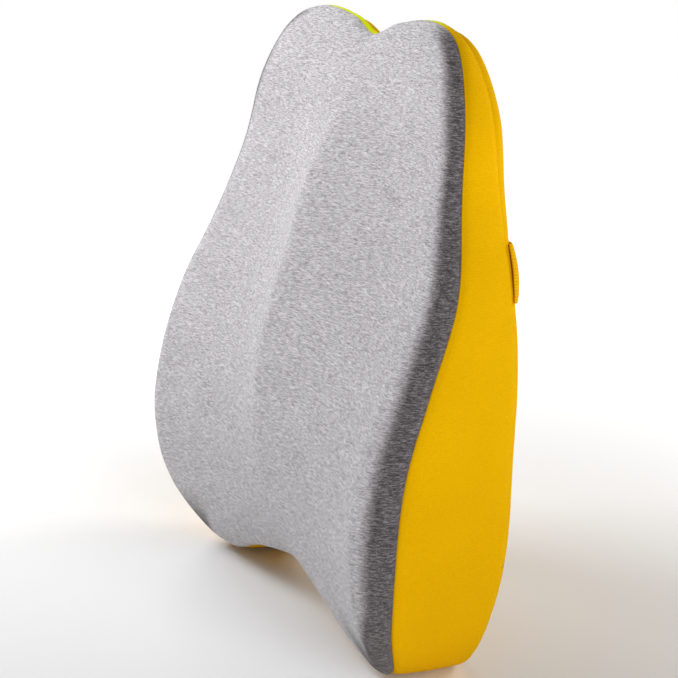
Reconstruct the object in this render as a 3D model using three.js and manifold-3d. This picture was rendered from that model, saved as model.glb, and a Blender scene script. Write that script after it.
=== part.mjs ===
// Lumbar support cushion: a contoured foam core in a sewn zip-off cover, with an elastic strap
// that clips round the back of a chair. Millimetres, +Z up, the user's side faces -Y.
import * as THREE from 'three';
import { mergeVertices } from 'three/addons/utils/BufferGeometryUtils.js';
import Module from 'manifold-3d';

const wasm = await Module();
wasm.setup();

// ---- driving dimensions -------------------------------------------------------------------
const HEIGHT = 474;            // floor to the top of the lobes
const BACK_Y = 53.4;           // y of the flat back, so that the whole object is centred on y = 0
const CLOTH = 3;               // cover fabric thickness
const GAP = 0.3;               // clearance between pieces that touch
const FOAM_GAP = 0.6;          // looseness of the cover on the foam
const CENTRE_Z = 223;          // height of the panels' middle points
const SPLINE_STEPS = 3;        // outline points per spline span

// Half of the butterfly outline seen from the front: top notch, lobe, waist, bottom lobe, notch.
const HALF_OUTLINE = [
  [0, 459], [35, 470], [81, 474], [119, 459], [148, 415], [160, 359], [178, 300], [188, 241],
  [189, 183], [189, 115], [178, 62], [152, 14], [118, 6], [72, 24], [0, 35],
];
// Depths in front of the flat back, at nine heights evenly spaced from the floor to the top.
const SEAM_DEPTH = [68, 91, 98, 93, 76, 52, 41, 34, 20];       // seam between front and border
const WING_DEPTH = [74, 112, 125, 119, 100, 74, 61, 51, 34];   // crests of the two wings
const RIDGE_RISE = [-38, -27, -18, -5, 6, 15, 9, -12, -12];    // middle line against the crests
const DISH = 14;               // hollow between the middle line and each crest
const DISH_WIDTH = 165;        // middle line to crest
const RIDGE_ROUND = 6;         // rounding of the middle line
const SEAM_MARGIN = 7;         // least rise of the front panel above its seam
const SEAM_EASE = 3;           // softness of that limit
const ARCH_WRAP = 22;          // how much further the front panel wraps under the foot arch
const SHOULDER = 27;           // roll of the front panel's rim
const TOP_SHOULDER = 11;       // the same at the top
const FOOT_SHOULDER = 10;      // and at the foot
const BACK_EDGE = 12;          // roll of the back panel's rim
const TOP_BACK_EDGE = 10.5;    // the same at the top
const BACK_TOP_DROP = 4;       // the back is this much lower than the front at the top
const BACK_FOOT_DROP = 5.2;    // and this much lower at the foot, where the cushion stands
const SEAM_TURN = 34;          // degrees that the border wraps round the back edge
const TOP_SEAM_TURN = 6;       // the same at the top

const ZIP_Z = 97;              // height of the zip
const ZIP_HALF = 160;          // half of the zip's length
const SLIDER_X = 149;          // slider at the closed end
const STRAP_Z = 311;           // height of the strap's middle line
const STRAP_WIDTH = 40;
const STRAP_THICK = 1.8;
const BUCKLE_Y = 10.1;         // middle of the buckle behind the flat back
const BUCKLE_THICK = 9;

// ---- helpers ------------------------------------------------------------------------------
const smooth = THREE.MathUtils.smoothstep;

function catmullRom(a, b, c, d, t) {
  return 0.5 * (2 * b + (c - a) * t + (2 * a - 5 * b + 4 * c - d) * t * t
    + (3 * b - a - 3 * c + d) * t * t * t);
}

// Smooth value of a depth list at height z.
function profile(values, z) {
  const last = values.length - 1;
  const at = (i) => {
    if (i < 0) return 2 * values[0] - values[1];
    if (i > last) return 2 * values[last] - values[last - 1];
    return values[i];
  };
  const u = THREE.MathUtils.clamp(z / HEIGHT * last, 0, last - 1e-6);
  const i = Math.floor(u);
  return catmullRom(at(i - 1), at(i), at(i + 1), at(i + 2), u - i);
}

// Depth of the front surface at (x, z).
function frontDepth(x, z) {
  const across = Math.hypot(x, RIDGE_ROUND) - RIDGE_ROUND;
  const s = Math.min(across / DISH_WIDTH, 1);
  const dish = DISH * smooth(z, 9, 99) * (1 - 0.6 * smooth(z, 379, 459));
  return profile(WING_DEPTH, z) + profile(RIDGE_RISE, z) * (1 - s) ** 2 - 4 * dish * s * (1 - s);
}

// Depth of the seam, which always lies behind the front surface.
function seamDepth(x, z) {
  const arch = (1 - smooth(Math.abs(x), 60, 115)) * (1 - smooth(z, 45, 75));
  const limit = frontDepth(x, z) - SEAM_MARGIN - ARCH_WRAP * arch;
  const free = profile(SEAM_DEPTH, z);
  return -SEAM_EASE * Math.log(Math.exp(-free / SEAM_EASE) + Math.exp(-limit / SEAM_EASE));
}

// Outline points with their outward normals, in the XZ plane.
function outline() {
  const left = HALF_OUTLINE.slice(1, -1).reverse().map(([x, z]) => [-x, z]);
  const points = [...HALF_OUTLINE, ...left].map(([x, z]) => new THREE.Vector3(x, 0, z));
  const curve = new THREE.CatmullRomCurve3(points, true, 'catmullrom', 0.5);
  const count = points.length * SPLINE_STEPS;
  return Array.from({ length: count }, (_, i) => {
    const point = curve.getPoint(i / count);
    const next = curve.getPoint(((i + 0.5) / count) % 1);
    const before = curve.getPoint((i - 0.5 + count) / count % 1);
    const normal = new THREE.Vector3(before.z - next.z, 0, next.x - before.x).normalize();
    return { point, normal };
  });
}

const RIM = outline();

// One loop of surface points, drawn in from the outline by `inset` and at depth `depth(q)`.
function loop(inset, depth, back = false) {
  return RIM.map(({ point, normal }) => {
    const q = point.clone();
    if (back) {
      q.z -= BACK_TOP_DROP * smooth(point.z, 399, 459);
      q.z -= BACK_FOOT_DROP * (1 - smooth(point.z, 19, 79));
    }
    q.addScaledVector(normal, -inset(point.z));
    q.y = -depth(q, point);
    return q;
  });
}

// Loop shrunk towards the middle of the panel.
function innerLoop(source, share, depth) {
  return source.map((p) => {
    const q = new THREE.Vector3(p.x * share, 0, CENTRE_Z + (p.z - CENTRE_Z) * share);
    q.y = -depth(q.x, q.z);
    return q;
  });
}

const blend = (a, b, share) => a + (b - a) * share;
const backEdge = (z) => blend(BACK_EDGE, TOP_BACK_EDGE, smooth(z, 389, 449));
const seamTurn = (z) => blend(SEAM_TURN, TOP_SEAM_TURN, smooth(z, 300, 420)) * Math.PI / 180;
function shoulder(z) {
  return blend(SHOULDER, TOP_SHOULDER, smooth(z, 389, 469))
    + (FOOT_SHOULDER - SHOULDER) * (1 - smooth(z, 20, 110));
}

// Loop on the rounded back edge; `turn(z)` goes from 0 at the side to a right angle at the back.
function edgeLoop(turn) {
  return loop((z) => backEdge(z) * (1 - Math.cos(turn(z))),
    (q, rim) => backEdge(rim.z) * (1 - Math.sin(turn(rim.z))), true);
}

const HALF_GAP_TURN = GAP / 2 / BACK_EDGE;

// Loops of the front panel, from the seam to the middle.
function frontLoops() {
  const loops = [0, 30, 60, 90].map((degrees) => {
    const a = THREE.MathUtils.degToRad(degrees);
    return loop((z) => shoulder(z) * (1 - Math.cos(a)), (q, rim) => {
      const seam = seamDepth(rim.x, rim.z) + GAP / 2;
      return seam + (frontDepth(q.x, q.z) - seam) * Math.sin(a);
    });
  });
  loops.push(innerLoop(loops[3], 0.7, frontDepth), innerLoop(loops[3], 0.35, frontDepth));
  return loops;
}

// Loops of the back panel, from its rim to the middle.
function backLoops() {
  const loops = [0, 0.5, 1].map((share) => edgeLoop(
    (z) => blend(seamTurn(z) + HALF_GAP_TURN, Math.PI / 2, share)));
  loops.push(innerLoop(loops[2], 0.5, () => 0));
  return loops;
}

// Loops of the side border, from the front seam to the back seam.
function borderLoops() {
  const front = loop(() => 0, (q, rim) => seamDepth(rim.x, rim.z) - GAP / 2);
  const corner = edgeLoop(() => 0);
  const middle = front.map((p, i) => p.clone().lerp(corner[i], 0.5));
  return [front, middle, corner, edgeLoop((z) => seamTurn(z) - HALF_GAP_TURN)];
}

const frontTip = new THREE.Vector3(0, -frontDepth(0, CENTRE_Z), CENTRE_Z);
const backTip = new THREE.Vector3(0, 0, CENTRE_Z);
const front = frontLoops();
const border = borderLoops();
const back = backLoops();

// Triangles between neighbouring loops, or between a loop and a tip.
function band(a, b, flip = false) {
  const triangles = [];
  const count = RIM.length;
  for (let i = 0; i < count; i += 1) {
    const j = (i + 1) % count;
    if (Array.isArray(b)) triangles.push([a[i], b[i], b[j]], [a[i], b[j], a[j]]);
    else triangles.push([a[i], b, a[j]]);
  }
  return flip ? triangles.map(([p, q, r]) => [p, r, q]) : triangles;
}

function bands(loops, flip = false) {
  return loops.slice(1).flatMap((next, i) => band(loops[i], next, flip));
}

// The whole closed outer surface, from the front's middle over the border to the back's middle.
function skinTriangles() {
  return [
    ...bands(front, true), ...band(front.at(-1), frontTip, true), ...band(front[0], border[0]),
    ...bands(border), ...band(border.at(-1), back[0]), ...bands(back), ...band(back.at(-1), backTip),
  ];
}

// Smooth outward normal at every point of the outer surface.
function surfaceNormals() {
  const normals = new Map();
  const triangles = skinTriangles();
  const add = (p, n) => normals.set(p, (normals.get(p) ?? new THREE.Vector3()).add(n));
  for (const [p, q, r] of triangles) {
    const n = q.clone().sub(p).cross(r.clone().sub(p)).normalize();
    [p, q, r].forEach((v) => add(v, n));
  }
  // The two edges of a seam share one direction, so that the gap between them stays even.
  for (const [one, other] of [[front[0], border[0]], [border.at(-1), back[0]]]) {
    one.forEach((p, i) => {
      const shared = normals.get(p).clone().add(normals.get(other[i]));
      normals.set(p, shared);
      normals.set(other[i], shared.clone());
    });
  }
  const outward = normals.get(backTip).y > 0 ? 1 : -1;
  normals.forEach((n) => n.normalize().multiplyScalar(outward));
  return normals;
}

const normals = surfaceNormals();
const sink = (p, depth) => p.clone().addScaledVector(normals.get(p), -depth);
const sinkLoop = (points, depth) => points.map((p) => sink(p, depth));

// Closed geometry from a list of triangles, turned so that its faces point out.
function closedGeometry(triangles) {
  const position = triangles.flat().flatMap((p) => [p.x, p.y, p.z]);
  const volume = triangles.reduce((sum, [p, q, r]) => sum + p.dot(q.clone().cross(r)), 0);
  const geometry = new THREE.BufferGeometry();
  geometry.setAttribute('position', new THREE.Float32BufferAttribute(position, 3));
  const merged = mergeVertices(geometry, 1e-4);
  if (volume < 0) {
    const index = merged.index.array;
    for (let i = 0; i < index.length; i += 3) [index[i], index[i + 1]] = [index[i + 1], index[i]];
  }
  merged.computeVertexNormals();
  return merged;
}

// A panel of cloth: outer loops, their inner copies, and the raw edges that join the two.
function clothPanel(loops, tip) {
  const inner = loops.map((points) => sinkLoop(points, CLOTH));
  const triangles = [...bands(loops), ...bands(inner, true), ...band(inner[0], loops[0])];
  if (tip) {
    triangles.push(...band(loops.at(-1), tip), ...band(inner.at(-1), sink(tip, CLOTH), true));
  } else {
    triangles.push(...band(loops.at(-1), inner.at(-1)));
  }
  return closedGeometry(triangles);
}

function foamGeometry() {
  return closedGeometry(skinTriangles().map((corners) => sinkLoop(corners, CLOTH + FOAM_GAP)));
}

function box(low, high) {
  const size = high.map((v, i) => v - low[i]);
  return new THREE.BoxGeometry(...size)
    .translate(...low.map((v, i) => v + size[i] / 2));
}

function rectangle(x0, z0, x1, z1, radius) {
  const shape = new THREE.Shape();
  shape.moveTo(x0 + radius, z0);
  shape.lineTo(x1 - radius, z0).absarc(x1 - radius, z0 + radius, radius, -Math.PI / 2, 0);
  shape.lineTo(x1, z1 - radius).absarc(x1 - radius, z1 - radius, radius, 0, Math.PI / 2);
  shape.lineTo(x0 + radius, z1).absarc(x0 + radius, z1 - radius, radius, Math.PI / 2, Math.PI);
  shape.lineTo(x0, z0 + radius);
  shape.absarc(x0 + radius, z0 + radius, radius, Math.PI, Math.PI * 1.5);
  return shape;
}

// Shape drawn in XZ, extruded from y0 to y1.
function plate(shape, y0, y1) {
  return new THREE.ExtrudeGeometry(shape, { depth: y1 - y0, bevelEnabled: false, curveSegments: 3 })
    .rotateX(Math.PI / 2).translate(0, y1, 0);
}

// Shape drawn in XY, extruded from z0 to z1.
function bar(shape, z0, z1) {
  return new THREE.ExtrudeGeometry(shape, { depth: z1 - z0, bevelEnabled: false, curveSegments: 8 })
    .translate(0, 0, z0);
}

function solid(geometry) {
  const plain = geometry.clone();
  plain.deleteAttribute('normal');
  plain.deleteAttribute('uv');
  const merged = mergeVertices(plain, 1e-4);
  const vertProperties = new Float32Array(merged.attributes.position.array);
  const triVerts = new Uint32Array(merged.index.array);
  return new wasm.Manifold(new wasm.Mesh({ numProp: 3, vertProperties, triVerts }));
}

function fromSolid(manifold) {
  const mesh = manifold.getMesh();
  const geometry = new THREE.BufferGeometry();
  geometry.setAttribute('position', new THREE.BufferAttribute(mesh.vertProperties, 3));
  geometry.setIndex(new THREE.BufferAttribute(mesh.triVerts, 1));
  geometry.computeVertexNormals();
  return geometry;
}

// base joined with the `added` geometries, less the `cut` ones.
function carve(base, { added = [], cut = [] }) {
  let result = solid(base);
  added.forEach((piece) => { result = result.add(solid(piece)); });
  cut.forEach((piece) => { result = result.subtract(solid(piece)); });
  return fromSolid(result);
}

// ---- materials ----------------------------------------------------------------------------
const material = (color, roughness, metalness = 0) => (
  new THREE.MeshStandardMaterial({ color, roughness, metalness }));
const GREY_KNIT = material('#bdb9bd', 0.95);
const YELLOW_MESH = material('#e8b400', 0.85);
const YELLOW_WEB = material('#dca800', 0.8);
const FOAM = material('#efe9d8', 1);
const ZIP_YELLOW = material('#d9a400', 0.7);
const BLACK_PLASTIC = material('#1b1b1d', 0.45);
const ZIP_METAL = material('#8d8f94', 0.35, 1);

// ---- cushion and cover --------------------------------------------------------------------
const model = new THREE.Group();
const atBack = new THREE.Group();      // everything is drawn from the flat back, y = 0 there
atBack.position.y = BACK_Y;
model.add(atBack);

function place(name, geometry, look, parent = atBack) {
  const mesh = new THREE.Mesh(geometry, look);
  mesh.name = name;
  parent.add(mesh);
  return mesh;
}

// The back panel is cut in two by the zip: a slot for the zip, and plain seams past its ends.
const SLOT_HALF_X = ZIP_HALF + 5;
const SLOT_HALF_Z = 9.3;
const BIG = 600;
function backPanel(side) {
  const slot = box([-SLOT_HALF_X, -BIG, ZIP_Z - SLOT_HALF_Z], [SLOT_HALF_X, BIG, ZIP_Z + SLOT_HALF_Z]);
  const other = side > 0
    ? box([-BIG, -BIG, -BIG], [BIG, BIG, ZIP_Z + GAP / 2])
    : box([-BIG, -BIG, ZIP_Z - GAP / 2], [BIG, BIG, BIG]);
  return carve(clothPanel(back, backTip), { cut: [slot, other] });
}

place('foam_core', foamGeometry(), FOAM);
place('front_panel', clothPanel(front, frontTip), GREY_KNIT);
place('side_border', clothPanel(border), YELLOW_MESH);
place('back_panel_upper', backPanel(1), YELLOW_MESH);
place('back_panel_lower', backPanel(-1), YELLOW_MESH);

// ---- zip ----------------------------------------------------------------------------------
const CHAIN = { inner: 0.5, outer: 3, low: -2.1, high: -0.7 };
const TAPE = { inner: 3.2, outer: 9, low: -1.7, high: -1.1 };

function zipStrip(section, side) {
  const z = [side * section.inner, side * section.outer].sort((a, b) => a - b);
  return box([-ZIP_HALF, section.low, ZIP_Z + z[0]], [ZIP_HALF, section.high, ZIP_Z + z[1]]);
}

for (const [word, side] of [['upper', 1], ['lower', -1]]) {
  place(`zip_tape_${word}`, zipStrip(TAPE, side), ZIP_YELLOW);
  place(`zip_teeth_${word}`, zipStrip(CHAIN, side), ZIP_YELLOW);
}
for (const [word, side] of [['left', -1], ['right', 1]]) {
  const x = [side * (ZIP_HALF + GAP), side * (ZIP_HALF + 3)].sort((a, b) => a - b);
  place(`zip_stop_${word}`, box([x[0], -2.2, ZIP_Z - 3.2], [x[1], -0.5, ZIP_Z + 3.2]), ZIP_METAL);
}

// The slider's two plates are joined by a thin post that runs between the rows of teeth.
const PULL_Y = 2.6;            // hinge of the pull above the flat back
function sliderGeometry() {
  const face = rectangle(-5.5, -4.2, 5.5, 4.2, 2);
  const lug = new THREE.Shape();
  lug.moveTo(-2.4, 0.5);
  lug.lineTo(2.4, 0.5).lineTo(2, PULL_Y).absarc(0, PULL_Y, 2, 0, Math.PI);
  const eye = new THREE.Path().absarc(0, PULL_Y, 1.05, 0, Math.PI * 2);
  lug.holes.push(eye);
  return carve(plate(face, -0.4, 0.7), {
    added: [plate(face, -2.95, -2.4), box([-1.6, -2.6, -0.25], [1.6, 0, 0.25]), bar(lug, -0.8, 0.8)],
  });
}

function pullGeometry() {
  const tab = rectangle(-0.6, -3.4, 30, 3.4, 0.5);
  tab.holes.push(new THREE.Path(rectangle(0.6, -1.4, 3.6, 1.4, 0.3).getPoints(3)));
  tab.holes.push(new THREE.Path(rectangle(20, -1.6, 27, 1.6, 1.5).getPoints(3)));
  return plate(tab, PULL_Y - 0.6, PULL_Y + 0.6);
}

const sliderGroup = new THREE.Group();
sliderGroup.position.set(SLIDER_X, 0, ZIP_Z);
atBack.add(sliderGroup);
place('zip_slider', sliderGeometry(), ZIP_METAL, sliderGroup);
place('zip_pull', pullGeometry().rotateZ(Math.PI).translate(0, 2 * PULL_Y, 0), ZIP_METAL, sliderGroup);

// ---- strap --------------------------------------------------------------------------------
// Middle line of the right half, from the side seam round the back edge to the buckle's bar,
// over the bar, and back under it as the sewn tail.
const STRAP_ROUTE = [
  [174.2, -5.2], [174.2, -2.6], [171.6, 0], [168.5, 1.6], [163, 2.4], [150, 3.4], [110, 6.6],
  [60, 12], [37, 14.3], [28, 14.6], [24, 13.2], [23.6, 10.1], [24, 7], [28, 5.6], [37, 6],
  [60, 9.2],
];
const STRAP_SHEAR = 0.28;      // slope of the side seam where the strap leaves it

function strapGeometry(side) {
  const curve = new THREE.SplineCurve(STRAP_ROUTE.map(([x, y]) => new THREE.Vector2(x, y)));
  const steps = 45;
  const sides = [[], []];
  for (let i = 0; i <= steps; i += 1) {
    const p = curve.getPoint(i / steps);
    const t = curve.getTangent(i / steps);
    const n = new THREE.Vector2(-t.y, t.x).multiplyScalar(STRAP_THICK / 2);
    sides[0].push(p.clone().add(n));
    sides[1].push(p.clone().sub(n));
  }
  const shape = new THREE.Shape([...sides[0], ...sides[1].reverse()]);
  const geometry = bar(shape, -STRAP_WIDTH / 2, STRAP_WIDTH / 2);
  const position = geometry.attributes.position;
  for (let i = 0; i < position.count; i += 1) {
    const x = position.getX(i);
    position.setX(i, x - STRAP_SHEAR * position.getZ(i) * smooth(x, 100, 180));
  }
  geometry.translate(0, 0, STRAP_Z);
  return side > 0 ? geometry : mirrored(geometry);
}

function mirrored(geometry) {
  const plain = geometry.scale(-1, 1, 1);
  const position = plain.attributes.position;
  const corner = new THREE.Vector3();
  const other = new THREE.Vector3();
  for (let i = 0; i < position.count; i += 3) {
    corner.fromBufferAttribute(position, i);
    other.fromBufferAttribute(position, i + 1);
    position.setXYZ(i, other.x, other.y, other.z);
    position.setXYZ(i + 1, corner.x, corner.y, corner.z);
  }
  return plain;
}

place('strap_left', strapGeometry(-1), YELLOW_WEB);
place('strap_right', strapGeometry(1), YELLOW_WEB);

// ---- side-release buckle ------------------------------------------------------------------
const buckle = new THREE.Group();
buckle.position.set(0, BUCKLE_Y, STRAP_Z);
atBack.add(buckle);
const HALF_THICK = BUCKLE_THICK / 2;
const MOUTH_X = -14;           // open end of the socket
const CAVITY_END = 9;
const CAVITY_HALF = 2.6;
const BAR_X = [26.6, 32];      // the bar that each strap turns round, and the slot beside it
const SLOT_X = [20.6, 26.6];
const PRONG_ROOT = [-14.2, 14.6];

function socketGeometry() {
  const body = rectangle(MOUTH_X, -25, BAR_X[1], 25, 5);
  body.holes.push(new THREE.Path(rectangle(SLOT_X[0], -21, SLOT_X[1], 21, 1).getPoints(3)));
  return carve(plate(body, -HALF_THICK, HALF_THICK), {
    cut: [
      box([MOUTH_X - 1, -CAVITY_HALF, -30], [CAVITY_END, CAVITY_HALF, 30]),
      box([SLOT_X[1] - 1, 2.6, -21], [BAR_X[1] + 1, 9, 21]),
      box([SLOT_X[1] - 1, -9, -21], [BAR_X[1] + 1, -2.6, 21]),
    ],
  });
}

function plugGeometry() {
  const base = rectangle(-BAR_X[1], -25, MOUTH_X - 1, 25, 3);
  base.holes.push(new THREE.Path(rectangle(-SLOT_X[1], -21, -SLOT_X[0], 21, 1).getPoints(3)));
  const tongue = rectangle(MOUTH_X - 2, -5, 6, 5, 1.5);
  return carve(plate(base, -HALF_THICK, HALF_THICK), {
    added: [plate(tongue, -2, 2)],
    cut: [
      box([-BAR_X[1] - 1, 2.6, -21], [-SLOT_X[1] + 1, 9, 21]),
      box([-BAR_X[1] - 1, -9, -21], [-SLOT_X[1] + 1, -2.6, 21]),
    ],
  });
}

// A springy arm with a squeeze pad that stands out past the socket's side.
function prongGeometry(side) {
  const arm = new THREE.Shape();
  const [x, z] = PRONG_ROOT;
  arm.moveTo(x, z - 2);
  arm.lineTo(5, z - 4).lineTo(6.4, z + 1).lineTo(2, 27.4).lineTo(-4, 27.4);
  arm.lineTo(-8, 22).lineTo(-8, z + 2).lineTo(x, z + 2);
  const geometry = plate(arm, -2, 2);
  return side > 0 ? geometry : geometry.rotateX(Math.PI);
}

place('buckle_socket', socketGeometry(), BLACK_PLASTIC, buckle);
place('buckle_plug', plugGeometry(), BLACK_PLASTIC, buckle);
place('buckle_prong_upper', prongGeometry(1), BLACK_PLASTIC, buckle);
place('buckle_prong_lower', prongGeometry(-1), BLACK_PLASTIC, buckle);

export default model;
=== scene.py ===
"""Lumbar support cushion: the looks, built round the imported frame. Metres, +Z up."""
import math

import bmesh
import bpy
import numpy as np
from mathutils import Matrix, Vector


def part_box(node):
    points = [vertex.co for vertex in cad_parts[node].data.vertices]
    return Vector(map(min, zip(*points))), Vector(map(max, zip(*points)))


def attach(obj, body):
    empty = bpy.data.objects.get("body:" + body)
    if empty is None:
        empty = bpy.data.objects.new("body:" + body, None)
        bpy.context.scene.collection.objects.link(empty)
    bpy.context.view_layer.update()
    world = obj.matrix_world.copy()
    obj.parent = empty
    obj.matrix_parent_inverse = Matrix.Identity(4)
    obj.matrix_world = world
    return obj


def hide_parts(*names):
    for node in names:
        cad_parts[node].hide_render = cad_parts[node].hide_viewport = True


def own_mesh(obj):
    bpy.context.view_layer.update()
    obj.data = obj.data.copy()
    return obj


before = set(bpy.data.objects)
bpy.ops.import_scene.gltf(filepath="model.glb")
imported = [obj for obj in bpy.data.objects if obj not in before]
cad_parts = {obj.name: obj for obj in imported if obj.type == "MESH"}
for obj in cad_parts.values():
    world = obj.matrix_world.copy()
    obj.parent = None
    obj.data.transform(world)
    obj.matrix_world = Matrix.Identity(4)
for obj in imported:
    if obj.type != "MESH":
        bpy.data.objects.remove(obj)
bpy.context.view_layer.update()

MM = 0.001
BACK_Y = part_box("back_panel_upper")[1].y
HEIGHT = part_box("side_border")[1].z

ZIP_Z = (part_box("zip_teeth_upper")[0].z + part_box("zip_teeth_lower")[1].z) / 2 / MM
ZIP_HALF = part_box("zip_tape_upper")[1].x / MM
STRAP_LOW, STRAP_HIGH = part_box("strap_right")
STRAP_Z = (STRAP_LOW.z + STRAP_HIGH.z) / 2 / MM
STRAP_WIDTH = (STRAP_HIGH.z - STRAP_LOW.z) / MM

# ---- the cushion's shape: the same outline and depths as the CAD cover ---------------------
HALF_OUTLINE = [
    (0, 459), (35, 470), (81, 474), (119, 459), (148, 415), (160, 359), (178, 300), (188, 241),
    (189, 183), (189, 115), (178, 62), (152, 14), (118, 6), (72, 24), (0, 35),
]
SEAM_DEPTH = [68, 91, 98, 93, 76, 52, 41, 34, 20]
WING_DEPTH = [74, 112, 125, 119, 100, 74, 61, 51, 34]
RIDGE_RISE = [-38, -27, -18, -5, 6, 15, 9, -12, -12]
CENTRE_Z = 223
DISH = 14
DISH_WIDTH = 165
RIDGE_ROUND = 5
SEAM_MARGIN = 7                # least rise of the front panel above its seam, mm
SEAM_EASE = 3
ARCH_WRAP = 22                 # how much further the front panel wraps under the foot arch, mm
SHOULDER, TOP_SHOULDER, FOOT_SHOULDER = 27, 11, 10
BACK_EDGE, TOP_BACK_EDGE = 12, 10.5
BACK_TOP_DROP, BACK_FOOT_DROP = 4, 5.2
SEAM_TURN, TOP_SEAM_TURN = 34, 6       # degrees that the border wraps round the back edge
SPLINE_STEPS = 12
CLOTH = 2.4                    # thickness of the cover cloth, mm
BORDER_CROWN = 1.2             # how far the border bellies out between its seams, mm


def smooth(a, b, v):
    t = np.clip((v - a) / (b - a), 0, 1)
    return t * t * (3 - 2 * t)


def catmull_rom(a, b, c, d, t):
    return 0.5 * (2 * b + (c - a) * t + (2 * a - 5 * b + 4 * c - d) * t * t
                  + (3 * b - a - 3 * c + d) * t ** 3)


def profile(values, z):
    """Smooth value of a depth list at the heights z, in mm."""
    v = np.array([2 * values[0] - values[1], *values, 2 * values[-1] - values[-2]], float)
    last = len(values) - 1
    u = np.clip(z / (HEIGHT / MM) * last, 0, last - 1e-6)
    i = u.astype(int)
    return catmull_rom(v[i], v[i + 1], v[i + 2], v[i + 3], u - i)


def front_depth(x, z):
    across = np.hypot(x, RIDGE_ROUND) - RIDGE_ROUND
    s = np.minimum(across / DISH_WIDTH, 1)
    dish = DISH * smooth(9, 99, z) * (1 - 0.6 * smooth(379, 459, z))
    return profile(WING_DEPTH, z) + profile(RIDGE_RISE, z) * (1 - s) ** 2 - 4 * dish * s * (1 - s)


def seam_depth(q):
    """Depth of the front seam, which always lies behind the front surface."""
    arch = (1 - smooth(60, 115, np.abs(q[:, 0]))) * (1 - smooth(45, 75, q[:, 1]))
    limit = front_depth(q[:, 0], q[:, 1]) - SEAM_MARGIN - ARCH_WRAP * arch
    free = profile(SEAM_DEPTH, q[:, 1])
    return -SEAM_EASE * np.log(np.exp(-free / SEAM_EASE) + np.exp(-limit / SEAM_EASE))


def outline():
    """Outline points and outward normals in the XZ plane, in mm."""
    left = [(-x, z) for x, z in HALF_OUTLINE[1:-1]][::-1]
    knots = np.array(HALF_OUTLINE + left, float)
    t = np.arange(SPLINE_STEPS)[:, None] / SPLINE_STEPS
    spans = [catmull_rom(knots[k - 1], knots[k], knots[(k + 1) % len(knots)],
                         knots[(k + 2) % len(knots)], t) for k in range(len(knots))]
    points = np.concatenate(spans)
    tangent = np.roll(points, -1, 0) - np.roll(points, 1, 0)
    tangent /= np.linalg.norm(tangent, axis=1)[:, None]
    return points, np.stack([-tangent[:, 1], tangent[:, 0]], 1)


def eased(ring, reach=4.0):
    """A ring of vectors averaged over its neighbours, so that insets keep clear of corners."""
    offsets = np.arange(-12, 13)
    weights = np.exp(-(offsets / reach) ** 2 / 2)
    return sum(w * np.roll(ring, k, 0) for k, w in zip(offsets, weights / weights.sum()))


RIM, RIM_NORMAL = outline()
RIM_Z = RIM[:, 1]
INSET = eased(RIM_NORMAL)


def shoulder(z):
    top = (TOP_SHOULDER - SHOULDER) * smooth(389, 469, z)
    return SHOULDER + top + (FOOT_SHOULDER - SHOULDER) * (1 - smooth(20, 110, z))


def back_edge(z):
    return BACK_EDGE + (TOP_BACK_EDGE - BACK_EDGE) * smooth(389, 449, z)


def seam_turn(z):
    """Angle round the back edge at which the border meets the back panel."""
    return np.radians(SEAM_TURN + (TOP_SEAM_TURN - SEAM_TURN) * smooth(300, 420, z))


def back_outline():
    points = RIM.copy()
    points[:, 1] -= BACK_TOP_DROP * smooth(399, 459, RIM_Z)
    points[:, 1] -= BACK_FOOT_DROP * (1 - smooth(19, 79, RIM_Z))
    return points


def as_ring(q, depth):
    return np.stack([q[:, 0], -np.broadcast_to(depth, len(q)), q[:, 1]], 1)


# Angles round the front panel's rolled rim at which it has a ring of points.
SHOULDER_TURNS = [0, 2, 5, 9, 14, 20, 26, 32, 38, 44, 50, 56, 62, 68, 74, 82, 90]
FACE_STEPS, BACK_STEPS = 28, 14        # steps from rim to middle on the front and on the back


def front_rings():
    rings = []
    for a in np.radians(SHOULDER_TURNS):
        q = RIM - INSET * (shoulder(RIM_Z) * (1 - math.cos(a)))[:, None]
        seam = seam_depth(RIM)
        rings.append(as_ring(q, seam + (front_depth(*q.T) - seam) * math.sin(a)))
    rim = rings[-1]
    for share in 1 - np.arange(1, FACE_STEPS) / FACE_STEPS:
        x, z = rim[:, 0] * share, CENTRE_Z + (rim[:, 2] - CENTRE_Z) * share
        rings.append(np.stack([x, -front_depth(x, z), z], 1))
    return rings


def edge_ring(turn):
    """Ring on the rounded back edge; turn goes from 0 at the side to a right angle behind."""
    edge = back_edge(RIM_Z)
    q = back_outline() - INSET * (edge * (1 - np.cos(turn)))[:, None]
    return as_ring(q, edge * (1 - np.sin(turn)))


def border_rings():
    start = as_ring(RIM, seam_depth(RIM))
    end = edge_ring(np.zeros(len(RIM)))
    rings = []
    for t in (0, 0.02, 0.05, 0.1, 0.18, 0.28, 0.4, 0.5, 0.6, 0.72, 0.82, 0.9, 0.95, 0.98, 1):
        ring = start * (1 - t) + end * t
        crown = BORDER_CROWN * 4 * t * (1 - t)
        ring[:, 0] += RIM_NORMAL[:, 0] * crown
        ring[:, 2] += RIM_NORMAL[:, 1] * crown
        rings.append(ring)
    return rings + [edge_ring(seam_turn(RIM_Z) * share) for share in (0.25, 0.5, 0.75, 0.9, 1)]


def back_rings():
    seam = seam_turn(RIM_Z)
    rings = [edge_ring(seam + (math.pi / 2 - seam) * share)
             for share in (0, 0.04, 0.1, 0.2, 0.35, 0.5, 0.65, 0.8, 1)]
    rim = rings[-1]
    for share in 1 - np.arange(1, BACK_STEPS) / BACK_STEPS:
        rings.append(np.stack([rim[:, 0] * share, 0 * rim[:, 0],
                               CENTRE_Z + (rim[:, 2] - CENTRE_Z) * share], 1))
    return rings


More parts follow.
